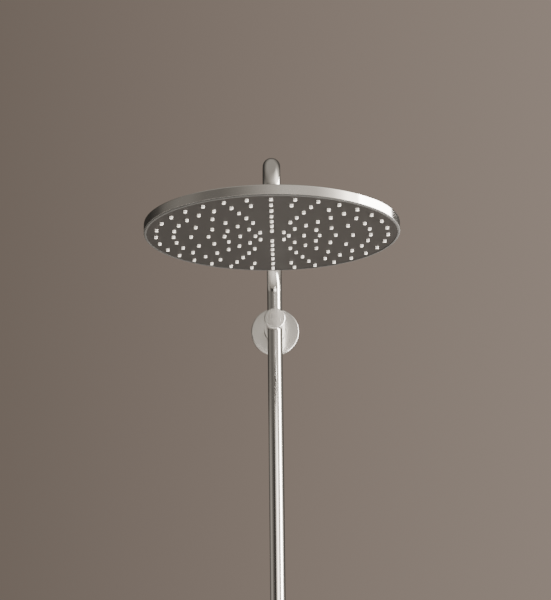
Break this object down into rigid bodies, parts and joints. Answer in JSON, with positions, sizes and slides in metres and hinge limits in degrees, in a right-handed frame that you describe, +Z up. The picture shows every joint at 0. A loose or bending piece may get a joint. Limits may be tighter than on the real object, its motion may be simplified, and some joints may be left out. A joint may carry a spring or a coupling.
{
  "type": "rainfall shower column",
  "caption": "Wall-mounted rainfall shower column: thin round head on a ball joint, long swivelling arm, round wall bracket, slim riser and thermostatic bar mixer.",
  "frame": {"origin": "centre of the bracket's two wall screws, on the wall plane", "axes": "+X to the right seen from the room, +Y into the wall, +Z up"},
  "size_m": [0.3, 0.683, 1.1375],
  "materials": {
    "chrome_head": "mirror chrome plate",
    "chrome_tube": "mirror chrome plate, drawn tube",
    "chrome_fitting": "mirror chrome plate, turned fittings",
    "chrome_handle": "mirror chrome plate, fluted grips",
    "graphite_face": "satin graphite",
    "nozzle_silicone": "translucent pale silicone",
    "grey_polymer": "moulded grey polymer",
    "white_ptfe": "white bearing polymer",
    "black_rubber": "black sealing rubber",
    "bare_brass": "turned brass",
    "stainless": "plain stainless",
    "ceramic_disc": "lapped ceramic",
    "button_red": "gloss red"
  },
  "bodies": {
    "column": {"arm_coupling": "bare_brass", "arm_stop_screw": "stainless", "bracket_body": "chrome_fitting", "bracket_grub_screw": "stainless", "check_membrane_cold": "nozzle_silicone", "check_membrane_hot": "nozzle_silicone", "check_valve_cold": "grey_polymer", "check_valve_hot": "grey_polymer", "coupling_o_rings": "black_rubber", "escutcheon_cold": "chrome_fitting", "escutcheon_hot": "chrome_fitting", "filter_gasket_cold": "black_rubber", "filter_gasket_hot": "black_rubber", "fixed_disc": "ceramic_disc", "flow_cartridge": "grey_polymer", "flow_nut": "bare_brass", "front_cap": "chrome_fitting", "mixer_body": "chrome_fitting", "riser_clamp_screw": "stainless", "riser_collar": "bare_brass", "riser_gasket": "black_rubber", "riser_tube": "chrome_tube", "riser_union_nut": "chrome_fitting", "rosette": "chrome_fitting", "s_union_cold": "bare_brass", "s_union_hot": "bare_brass", "thermo_cartridge": "grey_polymer", "thermo_nut": "bare_brass", "thrust_washer": "white_ptfe", "union_nut_cold": "chrome_fitting", "union_nut_hot": "chrome_fitting", "wall_plate": "stainless"},
    "arm": {"arm_tube": "chrome_tube", "arm_nipple": "bare_brass", "swivel_ball": "chrome_fitting", "inlet_strainer": "black_rubber"},
    "pitch_seat": {"upper_seat": "white_ptfe"},
    "roll_seat": {"lower_seat": "white_ptfe"},
    "head": {"head_shell": "chrome_head", "face_plate": "graphite_face", "nozzle_mat": "nozzle_silicone", "spray_chamber": "grey_polymer", "edge_seal": "black_rubber", "face_screws": "stainless", "inlet_hub": "bare_brass", "hub_seal": "black_rubber", "flow_limiter": "grey_polymer", "socket_nut": "chrome_head"},
    "temperature_knob": {"temperature_handle": "chrome_handle", "temperature_grub_screw": "stainless", "thermo_spindle": "bare_brass", "button_spring": "stainless"},
    "button": {"safety_button": "button_red"},
    "flow_knob": {"flow_handle": "chrome_handle", "flow_grub_screw": "stainless", "flow_spindle": "bare_brass", "moving_disc": "ceramic_disc"},
    "regulator": {"wax_element": "bare_brass", "regulating_piston": "grey_polymer", "piston_spring": "stainless"}
  },
  "joints": [
    {"name": "arm_swivel", "type": "hinge", "parent": "column", "child": "arm", "pos_m": [0, -0.068, 0], "axis": [0, 0, 1], "range_deg": [-45, 45]},
    {"name": "head_pitch", "type": "hinge", "parent": "arm", "child": "pitch_seat", "pos_m": [0, -0.518, 0.011], "axis": [1, 0, 0], "range_deg": [-12, 12]},
    {"name": "head_roll", "type": "hinge", "parent": "pitch_seat", "child": "roll_seat", "pos_m": [0, -0.518, 0.011], "axis": [0, 1, 0], "range_deg": [-12, 12]},
    {"name": "head_spin", "type": "hinge", "parent": "roll_seat", "child": "head", "pos_m": [0, -0.518, 0.011], "axis": [0, 0, 1], "continuous": true},
    {"name": "temperature_turn", "type": "hinge", "parent": "column", "child": "temperature_knob", "pos_m": [0.12, -0.068, -1.01], "axis": [1, 0, 0], "range_deg": [-150, 90]},
    {"name": "safety_press", "type": "slide", "parent": "temperature_knob", "child": "button", "axis": [0, 0, -1], "range_m": [0, 0.0013], "stiffness_N_per_m": 1200, "springref_m": -0.001, "deforming": ["button_spring"]},
    {"name": "flow_turn", "type": "hinge", "parent": "column", "child": "flow_knob", "pos_m": [-0.12, -0.068, -1.01], "axis": [1, 0, 0], "range_deg": [-90, 0]},
    {"name": "regulator_slide", "type": "slide", "parent": "column", "child": "regulator", "axis": [1, 0, 0], "range_m": [-0.0007, 0.0005]}
  ],
  "couplings": [
    {"joint": "regulator_slide", "follows": "temperature_turn", "m_per_rad": 0.0002387}
  ]
}
